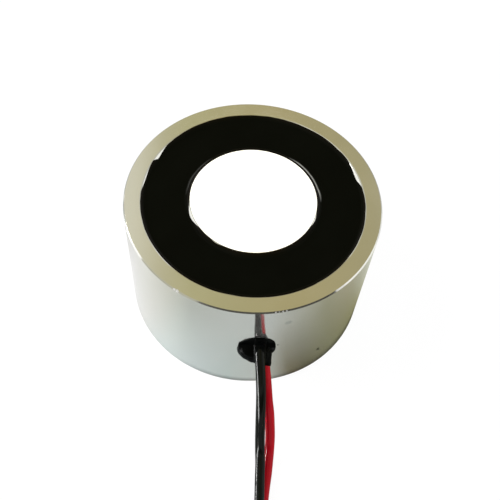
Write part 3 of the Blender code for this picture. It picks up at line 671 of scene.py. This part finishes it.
def rim_climb(angle):
    """How far the film climbs the groove's wall and chamfer, in millimetres along them."""
    climb = 0.60 + 0.04 * ragged(angle, 3.3, 6.0) + 0.03 * ragged(angle, 6.3, 16.0)
    climb -= 0.58 * lobe(angle, -131.0, -119.5, -117.0)
    climb -= (0.30 + 0.16 * ragged(angle, 8.7, 15.0)) * lobe(angle, -115.0, -103.0, -95.5)
    climb -= (0.60 + 0.06 * ragged(angle, 5.3, 9.0)) * lobe(angle, 117.5, 103.5, 96.0)
    return max(SHORTEST_CLIMB, climb)


def pole_climb(angle):
    """The same on the pole's wall and chamfer."""
    climb = 0.68 + 0.03 * ragged(angle, 13.3, 6.0)
    climb -= 0.64 * lobe(angle, -92.0, -74.0, -56.0)
    climb -= 0.30 * lobe(angle, 56.0, 66.0, 78.0)
    climb -= 0.16 * (1.0 - blend_between(abs(angle + 37.0), 1.0, 7.0))
    return max(SHORTEST_CLIMB, climb)


def on_edge(radius, side, climb, lift):
    """Radius and height of a film point up a wall, then up its chamfer. Side is 1 where the
    steel lies outside the resin and -1 where it lies inside it."""
    if climb <= FILM_ON_WALL:
        return radius - side * lift, RESIN_TOP + climb
    along = (climb - FILM_ON_WALL) * CHAMFER_SLOPE
    rise = lift * CHAMFER_SLOPE
    return radius + side * (along - rise), RESIN_TOP + FILM_ON_WALL + along + rise


def on_rim(climb, lift):
    """A film point on the rim's side of the groove."""
    return on_edge(GROOVE_RADIUS / MM, 1, climb, lift)


def on_pole(climb, lift):
    """A film point on the pole's side."""
    return on_edge(POLE_RADIUS / MM, -1, climb, lift)


def lid_section(angle):
    """The closed outline of the resin's top layer at one place round the axis."""
    up = rim_climb(angle)
    down = pole_climb(angle)
    points = [on_rim(up + 0.05, -0.05), on_rim(up, 0.03), on_rim(0.75 * up, 0.045)]
    points += [on_rim(0.45 * up, 0.07), (21.12, RESIN_TOP + 0.12 * up), (20.8, RESIN_TOP + 0.01)]
    points += [(radius, RESIN_TOP) for radius in (20.3, 19.4, 18.2, 17.0, 15.8, 14.8, 13.9)]
    points += [(13.45, RESIN_TOP + 0.01), (13.12, RESIN_TOP + 0.12 * down)]
    points += [on_pole(0.35 * down, 0.08), on_pole(0.7 * down, 0.045), on_pole(down, 0.03)]
    points += [on_pole(down + 0.05, -0.05), (13.0, 29.0)]
    points += [(radius, LID_BOTTOM) for radius in (13.0, 15.8, 18.6, 21.2)]
    return points + [(21.2, 29.0)]


bpy.ops.object.select_all(action="DESELECT")
bpy.ops.mesh.primitive_torus_add(
    major_segments=LID_SLICES,
    minor_segments=LID_CORNERS,
    major_radius=LID_RING * MM,
    minor_radius=LID_RING_HALF_WIDTH * MM,
)
resin = bpy.context.object
resin.name = "cast_resin"
for index, corner in enumerate(resin.data.vertices):
    slice_angle = 2 * math.pi * (index // LID_CORNERS) / LID_SLICES
    across = math.cos(slice_angle)
    along = math.sin(slice_angle)
    radius, height = lid_section(bearing(across, along))[index % LID_CORNERS]
    x = radius * across
    y = radius * along
    if height > WAVY_ABOVE:
        height += WAVE_HEIGHT * noise.noise(Vector((WAVE_PACE * x, WAVE_PACE * y, 2.0)))
        height += RIPPLE_HEIGHT * noise.noise(Vector((RIPPLE_PACE * x, RIPPLE_PACE * y, 4.0)))
    corner.co = Vector((x, y, min(height, HIGHEST_FILM))) * MM
turn_faces_outwards()

# What lies under the top layer is the frame's own solid, cut off level.
skirt = add_object("resin_skirt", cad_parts["potting_resin"].data.copy())
skirt.data.materials.clear()
select_only(skirt)
bpy.ops.object.mode_set(mode="EDIT")
bpy.ops.mesh.select_all(action="SELECT")
bpy.ops.mesh.remove_doubles(threshold=0.001 * MM)
bpy.ops.mesh.select_all(action="SELECT")
bpy.ops.mesh.bisect(
    plane_co=(0.0, 0.0, LID_BOTTOM * MM), plane_no=(0.0, 0.0, 1.0), use_fill=True, clear_outer=True
)
bpy.ops.object.mode_set(mode="OBJECT")
join_to(resin, [skirt])
bpy.ops.object.shade_smooth_by_angle(angle=RESIN_SMOOTH_BELOW)

# Places and sizes in millimetres of painted highlight lines on the film, and their strength.
SHINE_LINE_STRETCHES = (((11.2, 5.4, 29.8), 6.4, 0.9), ((-10.6, 6.2, 29.8), 5.5, 0.1))


def casting_resin():
    """Black casting resin: nearly matt, with faint pits, clouding and a brown edge where it thins.
    In two stretches a hair line of its film is made pale and metallic, a painted highlight."""
    finish, tree, shader = new_finish("black_casting_resin")
    place = object_place(tree)
    height = add_node(tree, "ShaderNodeSeparateXYZ", {0: place}).outputs["Z"]
    cloud = add_noise(tree, place, 160.0, 5.0)
    on_film = add_range(tree, height, (29.53 * MM, 29.60 * MM))
    low_on_film = add_range(tree, height, (29.63 * MM, 29.67 * MM), (1.0, 0.0))
    high_on_film = add_range(tree, height, (29.64 * MM, 29.98 * MM), (0.0, 0.8))
    black = add_mix(tree, cloud, (0.0025, 0.0027, 0.0012), (0.0042, 0.0045, 0.0024))
    brown = add_mix(tree, high_on_film, black, (0.010, 0.0065, 0.003))
    hair_line = add_math(tree, "MULTIPLY", low_on_film, on_film)
    shine_line = 0.0
    # Painted highlight: near each stretch a hair line of the film becomes pale metal.
    for spot, size, strength in SHINE_LINE_STRETCHES:
        near = add_spot(tree, place, spot, (0.6 * size, size), (strength, 0.0))
        inputs = {0: near, 1: hair_line, 2: shine_line}
        shine_line = add_node(tree, "ShaderNodeMath", inputs, operation="MULTIPLY_ADD").outputs[0]
    clouded = add_range(tree, cloud, (0.0, 1.0), (0.62, 0.78))
    roughness = add_node(tree, "ShaderNodeMix", {"Factor": on_film, "A": clouded, "B": 0.2})
    feed(tree, shader, {
        "Base Color": add_mix(tree, shine_line, brown, (0.50, 0.50, 0.46)),
        "Metallic": shine_line,
        "Roughness": roughness.outputs["Result"],
        "Specular IOR Level": add_range(tree, on_film, (0.0, 1.0), (0.014, 0.04)),
        "Normal": add_bump(tree, add_noise(tree, place, 1300.0, 3.0), 0.2, 0.08 * MM),
    })
    return finish


repaint(resin, casting_resin())
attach(resin, "root")
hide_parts("potting_resin")

# A bead of black sealant closes the side hole. It lies flush with the wall above, sags
# out below and to the left, and is drawn out along both leads, most on the red one.
BEAD_MIDDLE = Vector((-0.45, -24.6, 15.68)) * MM
BEAD_SIZE = Vector((3.3, 2.6, 2.9)) * MM
PLUG_RADIUS = 3.56 * MM
PLUG_LENGTH = 3.0 * MM
PLUG_MIDDLE = 23.45 * MM
CAP_RADIUS = 3.9 * MM
CAP_NARROWING = 0.93
CAP_THICKNESS = 1.2 * MM
CAP_MIDDLE = 24.9 * MM
CAP_HEIGHT = 16.6 * MM
GRAIN_SIZE = 0.11 * MM
# Where the bead keeps to the wall and where it stands proud and lumpy, in millimetres.
WALL_SKIN = 25.12
SAG_START = 17.7
SAG_SLOPE = 1.5
BLACK_LEAD_SIDE = 0.55
LEAD_ROOM = 1.12
LUMPY_PAST = 25.05
# Cones along the leads: root and tip, and the radius at each, in millimetres.
LEAD_CONES = (
    ((0.50, -24.7, 17.00), (0.53, -26.9, 16.70), 1.60, 1.02),
    ((0.53, -26.4, 16.80), (0.56, -28.1, 15.95), 1.08, 1.04),
    ((1.50, -24.7, 15.40), (1.62, -28.1, 14.40), 1.60, 1.04),
)
# Lumps under and between the leads: place and radius in millimetres.
LUMPS = (
    (1.05, -26.6, 16.0, 1.10), (1.15, -27.6, 15.45, 0.70), (2.05, -27.9, 14.25, 0.46),
    (2.15, -28.4, 13.95, 0.28), (0.95, -28.1, 14.85, 0.42), (-1.1, -25.2, 16.4, 0.70),
    (-0.9, -26.0, 14.9, 1.25), (-0.2, -26.3, 14.6, 1.05),
)

bpy.ops.object.select_all(action="DESELECT")
bpy.ops.mesh.primitive_uv_sphere_add(segments=64, ring_count=32, radius=1.0, location=BEAD_MIDDLE)
bead = bpy.context.object
bead.name = "sealant_bead"
bead.scale = BEAD_SIZE
bead_parts = [add_plug(PLUG_RADIUS, PLUG_LENGTH, PLUG_MIDDLE, EXIT_HEIGHT)]
bead_parts.append(add_plug(CAP_RADIUS, CAP_THICKNESS, CAP_MIDDLE, CAP_HEIGHT))
bead_parts[-1].scale = (CAP_NARROWING, 1.0, 1.0)
for root, tip, wide, thin in LEAD_CONES:
    root = Vector(root) * MM
    tip = Vector(tip) * MM
    bpy.ops.mesh.primitive_cone_add(
        vertices=48,
        radius1=wide * MM,
        radius2=thin * MM,
        depth=(tip - root).length,
        location=(root + tip) / 2,
        rotation=(tip - root).to_track_quat("Z", "Y").to_euler(),
    )
    bead_parts.append(bpy.context.object)
for x, y, z, size in LUMPS:
    bpy.ops.mesh.primitive_uv_sphere_add(
        segments=24, ring_count=12, radius=size * MM, location=Vector((x, y, z)) * MM
    )
    bead_parts.append(bpy.context.object)
join_to(bead, bead_parts)
bpy.ops.object.transform_apply(location=True, rotation=True, scale=True)
apply_modifier(bead, "REMESH", mode="VOXEL", voxel_size=GRAIN_SIZE)
apply_modifier(bead, "SMOOTH", factor=0.6, iterations=7)
for corner in bead.data.vertices:
    x, y, z = corner.co / MM
    proud = WALL_SKIN + SAG_SLOPE * max(0.0, SAG_START - z)
    if math.hypot(x, y) > proud and abs(x - BLACK_LEAD_SIDE) > LEAD_ROOM:
        corner.co.xy *= proud / math.hypot(x, y)
    elif y < -LUMPY_PAST:
        lump = 0.10 * noise.noise(Vector((x, y, z)) * 0.9)
        ripple = 0.045 * noise.noise(Vector((x, y, z)) * 2.6 + Vector((0.0, 0.0, 7.0)))
        corner.co += corner.normal * (lump + ripple) * MM
bpy.ops.object.shade_smooth()


def sealant():
    """Black sealant: satin, lumpy, a little grey with dust where it was smoothed by hand."""
    finish, tree, shader = new_finish("black_sealant")
    place = object_place(tree)
    dust = add_noise(tree, place, 420.0, 5.0)
    dusty = add_range(tree, dust, (0.45, 0.75))
    feed(tree, shader, {
        "Base Color": add_mix(tree, dusty, (0.0004, 0.0007, 0.0005), (0.0030, 0.0038, 0.0033)),
        "Roughness": add_range(tree, dust, (0.0, 1.0), (0.24, 0.50)),
        "Specular IOR Level": 0.03,
        "Normal": add_bump(tree, add_noise(tree, place, 1500.0, 3.0), 0.25, 0.1 * MM),
    })
    return finish


repaint(bead, sealant())
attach(bead, "root")
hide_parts("exit_seal")

# The two leads leave the bead of sealant one above the other, drop to the table, run out
# of the picture and end in three flat turns, the black one's turns lying on the red one's.
LEAD_DIAMETER = 1.9 * MM
BLACK_LEVEL = 2.95
RED_LEVEL = 1.0
COIL_CENTRE = Vector((-12.7, -66.0, 0.0)) * MM
COIL_RADIUS = 12.9
COIL_TURNS = 3
CLOSING_A_TURN = 1.95
STEPS_A_TURN = 32
TIE_SIDE = 300.0
TIE_LIFT = 0.56
TIE_LIFT_REACH = 3.1
BLACK_ROUTE = (
    (0.54, -25.0, 17.25), (0.46, -26.5, 17.0), (0.47, -28.1, 16.3), (0.53, -30.0, 15.3),
    (0.56, -32.0, 14.1), (0.54, -34.0, 12.6), (0.47, -35.9, 10.8), (0.43, -37.7, 8.6),
    (0.41, -39.4, 6.3), (0.42, -41.2, 4.4), (0.41, -43.3, 3.35), (0.23, -45.6, 2.98),
    (0.03, -48.2, 2.95), (-0.15, -50.8, 2.95), (-0.15, -53.6, 2.95), (0.10, -56.0, 2.95),
    (0.20, -58.2, 2.95), (0.20, -62.0, 2.95),
)
RED_ROUTE = (
    (1.53, -25.0, 15.30), (1.47, -26.5, 15.05), (1.57, -28.1, 14.35), (1.72, -29.8, 13.4),
    (1.86, -31.6, 12.2), (2.03, -33.4, 10.6), (2.32, -35.1, 8.7), (2.49, -36.7, 6.5),
    (2.57, -38.4, 4.3), (2.46, -40.2, 2.5), (2.18, -42.3, 1.4), (1.81, -44.6, 1.03),
    (1.32, -47.0, 1.0), (0.85, -49.6, 1.0), (0.45, -52.4, 1.0), (0.25, -55.4, 1.0),
    (0.20, -58.2, 1.0), (0.20, -62.0, 1.0),
)
# Ends inside the turns: degrees past the last full turn, radius and height in millimetres.
BLACK_TAIL = (
    (24.0, 6.75, 2.93), (46.0, 6.45, 2.85), (68.0, 6.2, 2.58), (90.0, 6.05, 2.12),
    (112.0, 6.0, 1.6), (132.0, 6.05, 1.15), (152.0, 6.05, 1.0), (172.0, 6.05, 1.0),
    (190.0, 6.05, 1.0),
)
RED_TAIL = (
    (19.0, 6.55, 1.0), (38.0, 5.95, 1.0), (62.0, 4.95, 1.0), (90.0, 4.25, 1.0),
    (120.0, 4.1, 1.0), (150.0, 4.1, 1.0),
)


def turn_place(degrees, radius, height):
    """A place in the turns, its angle clockwise from the side where the leads come in."""
    angle = math.radians(degrees)
    return COIL_CENTRE + Vector((radius * math.cos(angle), -radius * math.sin(angle), height)) * MM


def turns(height, tail):
    """Flat turns that close in by a lead's width each, lifted where the tie runs under."""
    places = []
    for step in range(COIL_TURNS * STEPS_A_TURN + 1):
        degrees = step * 360.0 / STEPS_A_TURN
        radius = COIL_RADIUS - CLOSING_A_TURN * degrees / 360.0
        aside = math.radians((degrees - TIE_SIDE + 180.0) % 360.0 - 180.0) * radius
        lift = TIE_LIFT * math.exp(-((aside / TIE_LIFT_REACH) ** 2))
        places.append(turn_place(degrees, radius, height + lift))
    last = 360.0 * COIL_TURNS
    return places + [turn_place(last + degrees, radius, at) for degrees, radius, at in tail]


def insulation(name, light, dark):
    """Extruded lead insulation: even colour with faint clouding, a soft gloss and a fine skin."""
    finish, tree, shader = new_finish(name)
    place = object_place(tree)
    cloud = add_noise(tree, place, 260.0, 3.0)
    feed(tree, shader, {
        "Base Color": add_mix(tree, cloud, dark, light),
        "Roughness": add_range(tree, cloud, (0.0, 1.0), (0.10, 0.17)),
        "Specular IOR Level": 0.12,
        "Normal": add_bump(tree, add_noise(tree, place, 1400.0), 0.12, 0.1 * MM),
    })
    return finish


def new_wire(name, diameter, finish, rounding, smoothness):
    """A round wire with closed ends, and no run yet."""
    wire = bpy.data.curves.new(name, "CURVE")
    wire.dimensions = "3D"
    wire.bevel_depth = diameter / 2
    wire.bevel_resolution = rounding
    wire.resolution_u = smoothness
    wire.use_fill_caps = True
    wire.materials.append(finish)
    return wire


def lay_run(wire, places):
    """Lay one smooth run of the wire through its places."""
    run = wire.splines.new("BEZIER").bezier_points
    run.add(len(places) - 1)
    for knot, place in zip(run, places):
        knot.co = place
        knot.handle_left_type = "AUTO"
        knot.handle_right_type = "AUTO"


def add_lead(name, route, height, tail, finish):
    """One lead as one smooth curve, along its route and round its turns."""
    wire = new_wire(name, LEAD_DIAMETER, finish, rounding=7, smoothness=8)
    lay_run(wire, [Vector(place) * MM for place in route] + turns(height, tail))
    lead = add_object(name, wire)
    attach(lead, "root")
    return lead


black_pvc = insulation("black_insulation", (0.0055, 0.0065, 0.0045), (0.0030, 0.0036, 0.0025))
red_pvc = insulation("red_insulation", (0.62, 0.006, 0.019), (0.50, 0.004, 0.013))
black_lead = add_lead("black_lead_whole", BLACK_ROUTE, BLACK_LEVEL, BLACK_TAIL, black_pvc)
red_lead = add_lead("red_lead_whole", RED_ROUTE, RED_LEVEL, RED_TAIL, red_pvc)
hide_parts("black_lead", "black_lead_tail", "lead_coil")
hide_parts("red_lead", "red_lead_tail")

# Each lead is stripped at its end. Its seven strands, one straight in the middle and six
# laid round it, are twisted together and tinned, and draw in towards the tip.
STRAND_DIAMETER = 0.333 * MM
STRANDS = 7
STRAND_SPACING = 0.96
STRAND_STEPS = 20
STRAND_TWIST = 330.0
TINNED_LENGTH = 5.0 * MM
OUTER_REACH = 0.985
REACH_STEP = 0.008
TIP_START = 0.8
TIP_CLOSING = 0.25


def tinned_metal():
    """Solder-coated copper: bright and slightly wavy, with dull spots."""
    finish, tree, shader = new_finish("tinned_strands")
    dull = add_noise(tree, object_place(tree), 900.0)
    feed(tree, shader, {
        "Base Color": add_mix(tree, dull, (0.66, 0.65, 0.62), (0.80, 0.79, 0.76)),
        "Metallic": 1.0,
        "Roughness": add_range(tree, dull, (0.0, 1.0), (0.18, 0.42)),
        "Normal": add_bump(tree, dull, 0.3, 0.05 * MM),
    })
    return finish


def add_tinned_end(name, tail, metal):
    """The strands that go on from a lead's tail, in one object."""
    start, radius, height = tail[-1]
    wire = new_wire(name, STRAND_DIAMETER, metal, rounding=3, smoothness=3)
    sweep = math.degrees(TINNED_LENGTH / (radius * MM))
    for strand in range(STRANDS):
        away = 0.0 if strand == 0 else STRAND_DIAMETER / MM * STRAND_SPACING
        reach = 1.0 if strand == 0 else OUTER_REACH - REACH_STEP * strand
        places = []
        for step in range(STRAND_STEPS + 1):
            share = step / STRAND_STEPS
            twist = math.radians(360.0 / (STRANDS - 1) * strand + STRAND_TWIST * share)
            near = away * (1.0 - TIP_CLOSING * max(0.0, share - TIP_START) / (1.0 - TIP_START))
            out = radius + near * math.cos(twist)
            up = height + near * math.sin(twist)
            places.append(turn_place(start + sweep * reach * share, out, up))
        lay_run(wire, places)
    strands = add_object(name, wire)
    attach(strands, "root")
    return strands


tinned = tinned_metal()
black_end = add_tinned_end("black_strands", BLACK_TAIL, tinned)
red_end = add_tinned_end("red_strands", RED_TAIL, tinned)
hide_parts("black_tinned_end")
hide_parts("red_tinned_end")

# A plastic-covered wire tie holds the turns: a ribbon with a wire down its middle, laid
# round them on edge, its two ends twisted together on top and folded down.
TIE_TURN = math.radians(360.0 - TIE_SIDE)
TIE_INNER = 7.0
TIE_OUTER = 14.2
TIE_TOP = 5.0
TIE_THICK = 0.5
TIE_CORNER = 1.15
CORNER_STEPS = 8
RIBBON = (
    (-1.25, 0.0), (-1.15, 0.13), (-0.45, 0.15), (-0.28, 0.25), (0.0, 0.25), (0.28, 0.25),
    (0.45, 0.15), (1.15, 0.13), (1.25, 0.0), (1.15, -0.13), (0.45, -0.15), (0.28, -0.25),
    (0.0, -0.25), (-0.28, -0.25), (-0.45, -0.15), (-1.15, -0.13),
)
TWIST_STEPS = 48
TWIST_SIDES = 16
TWIST_DEGREES = 1260.0
TWIST_START = -0.4
TWIST_LENGTH = 6.3
TWIST_WIDE = 0.62
TWIST_THIN = 0.30
TWIST_FLATNESS = 0.85
TWIST_HEIGHT = TIE_TOP - 0.10
TWIST_ARCH = 0.18
ARCH_PACE = 1.6
NECK = 0.45
NECK_LENGTH = 0.12
TIE_SMOOTH_BELOW = math.radians(50.0)


def tie_place(across, height, along=0.0):
    """A place on the tie: across the turns from their middle, height, and along the turns."""
    outward = Vector((math.cos(TIE_TURN), math.sin(TIE_TURN), 0.0))
    aside = Vector((math.sin(TIE_TURN), -math.cos(TIE_TURN), 0.0))
    return COIL_CENTRE + (outward * across + aside * along + Vector((0.0, 0.0, height))) * MM


def ribbon_loop():
    """The tie's middle line, a round-cornered loop, with its outward direction at each step."""
    left = TIE_INNER - TIE_THICK / 2 + TIE_CORNER
    right = TIE_OUTER + TIE_THICK / 2 - TIE_CORNER
    low = TIE_THICK / 2 + TIE_CORNER
    high = TIE_TOP - TIE_THICK / 2 - TIE_CORNER
    steps = []
    for across, height, first in (
        (right, high, 0.0), (left, high, 90.0), (left, low, 180.0), (right, low, 270.0),
    ):
        for step in range(CORNER_STEPS + 1):
            turn = math.radians(first + 90.0 * step / CORNER_STEPS)
            out = (math.cos(turn), math.sin(turn))
            steps.append((across + TIE_CORNER * out[0], height + TIE_CORNER * out[1], out))
    return steps


def ribbon_corners():
    """The ribbon's corners, one round of them at each step of its loop."""
    corners = []
    for across, height, out in ribbon_loop():
        for along, thick in RIBBON:
            corners.append(tie_place(across + thick * out[0], height + thick * out[1], along))
    return corners


def twist_corners():
    """The corners of the two ends twisted together, thinner where they leave the ribbon."""
    corners = []
    for step in range(TWIST_STEPS + 1):
        share = step / TWIST_STEPS
        turn = math.radians(TWIST_DEGREES * share)
        swell = NECK + (1.0 - NECK) * min(1.0, share / NECK_LENGTH)
        height = TWIST_HEIGHT + TWIST_ARCH * math.sin(math.pi * min(1.0, share * ARCH_PACE))
        for side in range(TWIST_SIDES):
            angle = 2 * math.pi * side / TWIST_SIDES
            wide = TWIST_WIDE * math.cos(angle) * swell
            thin = TWIST_THIN * math.sin(angle) * swell
            across = (TIE_INNER + TIE_OUTER) / 2 + wide * math.cos(turn) - thin * math.sin(turn)
            rise = height + (wide * math.sin(turn) + thin * math.cos(turn)) * TWIST_FLATNESS
            corners.append(tie_place(across, rise, TWIST_START + TWIST_LENGTH * share))
    return corners


def tube_faces(first, rounds, sides, closed):
    """Faces between rounds of corners that follow one another from a first corner on."""
    faces = []
    for here in range(rounds if closed else rounds - 1):
        start = first + here * sides
        after = first + (here + 1) % rounds * sides
        for side in range(sides):
            beside = (side + 1) % sides
            faces.append((start + side, after + side, after + beside, start + beside))
    return faces


ribbon = ribbon_corners()
twist = twist_corners()
tie_faces = tube_faces(0, len(ribbon) // len(RIBBON), len(RIBBON), True)
tie_faces += tube_faces(len(ribbon), TWIST_STEPS + 1, TWIST_SIDES, False)
last_round = len(ribbon) + TWIST_STEPS * TWIST_SIDES
tie_faces.append(tuple(len(ribbon) + side for side in range(TWIST_SIDES)))
tie_faces.append(tuple(last_round + side for side in reversed(range(TWIST_SIDES))))
tie_mesh = bpy.data.meshes.new("wire_tie")
tie_mesh.from_pydata(ribbon + twist, [], tie_faces)
tie = add_object("wire_tie", tie_mesh)
select_only(tie)
turn_faces_outwards()
bpy.ops.object.shade_smooth_by_angle(angle=TIE_SMOOTH_BELOW)
repaint(tie, insulation("tie_plastic", (0.020, 0.020, 0.019), (0.012, 0.012, 0.012)))
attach(tie, "root")
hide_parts("lead_tie")
